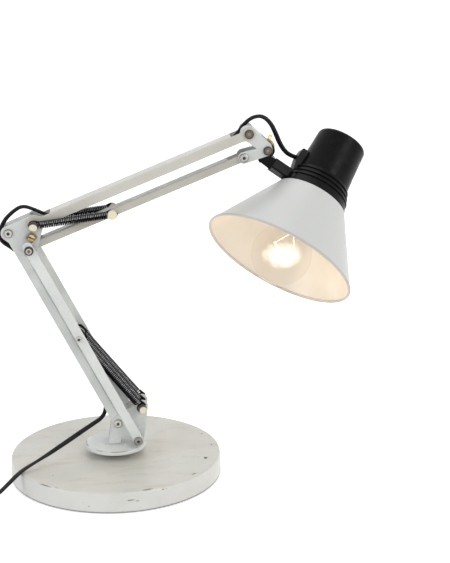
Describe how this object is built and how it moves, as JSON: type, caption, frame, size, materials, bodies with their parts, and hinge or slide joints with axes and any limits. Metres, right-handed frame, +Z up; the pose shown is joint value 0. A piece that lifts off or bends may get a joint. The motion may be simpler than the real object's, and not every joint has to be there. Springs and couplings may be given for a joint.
{
  "type": "balanced-arm desk lamp",
  "caption": "Desk lamp on a round weighted base, with a sprung folding arm of channel bars and a flared white shade on a black ribbed cap.",
  "frame": {"origin": "centre of the base's underside, on the surface that it stands on", "axes": "+Z up, +X from the base towards the head, arms in the X-Z plane at rest"},
  "size_m": [0.4925, 0.215, 0.369],
  "materials": {
    "white_paint": "glossy white paint, a little worn",
    "warm_white_paint": "glossy off-white paint",
    "base_paint": "worn off-white paint with beige marks and chips",
    "base_iron": "rough casting",
    "pad_rubber": "matt sheet",
    "bush_plastic": "smooth bearing plastic",
    "cream_plastic": "cream moulded plastic",
    "zinc_steel": "zinc plated",
    "dark_steel": "dark oxide finish",
    "spring_steel": "black spring wire",
    "yellow_zinc": "yellow zinc plating",
    "brass_screw": "plain slotted brass",
    "black_plastic": "satin black moulding",
    "shade_paint": "glossy white outside, satin white inside",
    "holder_plastic": "black moulded lamp holder",
    "bulb_clear": "clear thin glass",
    "bulb_metal": "thin spun screw cap",
    "filament_wire": "fine wire on a glass stem",
    "cord_black": "black twin flex",
    "plug_black": "black moulding",
    "plug_brass": "plated pins"
  },
  "bodies": {
    "base": {"base_shell": "base_paint", "base_weight": "base_iron", "base_pad": "pad_rubber", "base_bush": "bush_plastic"},
    "swivel": {"swivel_disc": "white_paint", "spindle_bolt": "zinc_steel", "spindle_nut": "zinc_steel", "base_bracket": "white_paint", "base_bolts": "zinc_steel", "base_spacers": "dark_steel", "lower_spring_pin": "zinc_steel", "lower_pin_sleeves": "cream_plastic", "cord_free": "cord_black", "cord_coil": "cord_black", "plug_body": "plug_black", "plug_pins": "plug_brass", "cord_foot": "cord_black"},
    "rear_bar": {"rear_lower_bar": "white_paint", "cord_lower_arm": "cord_black"},
    "front_bar": {"front_lower_bar": "white_paint", "front_bar_pin": "dark_steel", "lower_spring_near": "spring_steel", "lower_spring_middle": "spring_steel", "lower_spring_far": "spring_steel"},
    "elbow": {"elbow_bracket": "white_paint", "elbow_bolts": "zinc_steel", "elbow_spacers": "dark_steel", "elbow_pin_caps": "cream_plastic", "friction_washer": "zinc_steel", "friction_screw": "brass_screw", "cord_elbow_side": "cord_black", "cord_elbow_top": "cord_black"},
    "top_bar": {"upper_bar": "warm_white_paint", "cord_upper_arm": "cord_black"},
    "strut": {"upper_arm_lower_bar": "warm_white_paint", "upper_spring_pin": "zinc_steel", "upper_pin_caps": "cream_plastic", "upper_spring_near": "spring_steel", "upper_spring_far": "spring_steel"},
    "head_carrier": {"head_bracket": "warm_white_paint", "head_bolts": "zinc_steel", "tilt_bolt": "dark_steel", "cord_head_rise": "cord_black", "cord_head_loop": "cord_black"},
    "wing": {"wing_nut": "yellow_zinc"},
    "tilt": {"tilt_block": "black_plastic", "swivel_screw": "dark_steel"},
    "head": {"head_stem": "black_plastic", "lamp_cap": "black_plastic", "cord_clip": "black_plastic", "lamp_holder": "holder_plastic", "shade_ring": "holder_plastic", "shade": "shade_paint", "bulb_glass": "bulb_clear", "bulb_cap": "bulb_metal", "filament": "filament_wire", "switch_body": "black_plastic", "cord_head_tail": "cord_black"},
    "button": {"switch_button": "black_plastic"}
  },
  "joints": [
    {"name": "swivel_turn", "type": "hinge", "parent": "base", "child": "swivel", "pos_m": [0, 0, 0.0327], "axis": [0, 0, 1], "range_deg": [-180, 180]},
    {"name": "lower_arm", "type": "hinge", "parent": "swivel", "child": "rear_bar", "pos_m": [0.0028, 0, 0.0556], "axis": [0, 1, 0], "range_deg": [-3, 30], "deforming": ["cord_foot"]},
    {"name": "front_bar_pivot", "type": "hinge", "parent": "swivel", "child": "front_bar", "pos_m": [0.0229, 0, 0.0406], "axis": [0, 1, 0], "range_deg": [-3, 30], "deforming": ["lower_spring_near", "lower_spring_middle", "lower_spring_far"]},
    {"name": "elbow_pivot", "type": "hinge", "parent": "rear_bar", "child": "elbow", "pos_m": [-0.0991, 0, 0.25732], "axis": [0, 1, 0], "range_deg": [-30, 3], "deforming": ["cord_elbow_side"]},
    {"name": "upper_arm", "type": "hinge", "parent": "elbow", "child": "top_bar", "pos_m": [-0.074, 0, 0.26572], "axis": [0, 1, 0], "range_deg": [-33, 42], "deforming": ["cord_elbow_top"]},
    {"name": "strut_pivot", "type": "hinge", "parent": "elbow", "child": "strut", "pos_m": [-0.079, 0, 0.24232], "axis": [0, 1, 0], "range_deg": [-33, 42], "deforming": ["upper_spring_near", "upper_spring_far"]},
    {"name": "head_level", "type": "hinge", "parent": "top_bar", "child": "head_carrier", "pos_m": [0.13755, 0, 0.35077], "axis": [0, 1, 0], "range_deg": [-42, 33], "deforming": ["cord_head_rise"]},
    {"name": "head_tilt", "type": "hinge", "parent": "head_carrier", "child": "tilt", "pos_m": [0.15595, 0, 0.33387], "axis": [0, 1, 0], "range_deg": [-35, 15], "deforming": ["cord_head_loop"]},
    {"name": "wing_turn", "type": "hinge", "parent": "head_carrier", "child": "wing", "pos_m": [0.15595, 0.0098, 0.33387], "axis": [0, 1, 0], "range_deg": [-90, 90]},
    {"name": "head_turn", "type": "hinge", "parent": "tilt", "child": "head", "pos_m": [0.16099, 0, 0.31895], "axis": [0.8181, 0, -0.575], "range_deg": [-120, 60], "deforming": ["cord_head_tail"]},
    {"name": "button_press", "type": "slide", "parent": "head", "child": "button", "axis": [-0.501, -0.4909, -0.7128], "range_m": [0, 0.002], "stiffness_N_per_m": 400, "springref_m": -0.002}
  ],
  "couplings": [
    {"joint": "front_bar_pivot", "follows": "lower_arm", "ratio": 1},
    {"joint": "elbow_pivot", "follows": "lower_arm", "ratio": -1},
    {"joint": "strut_pivot", "follows": "upper_arm", "ratio": 1},
    {"joint": "head_level", "follows": "upper_arm", "ratio": -1}
  ]
}
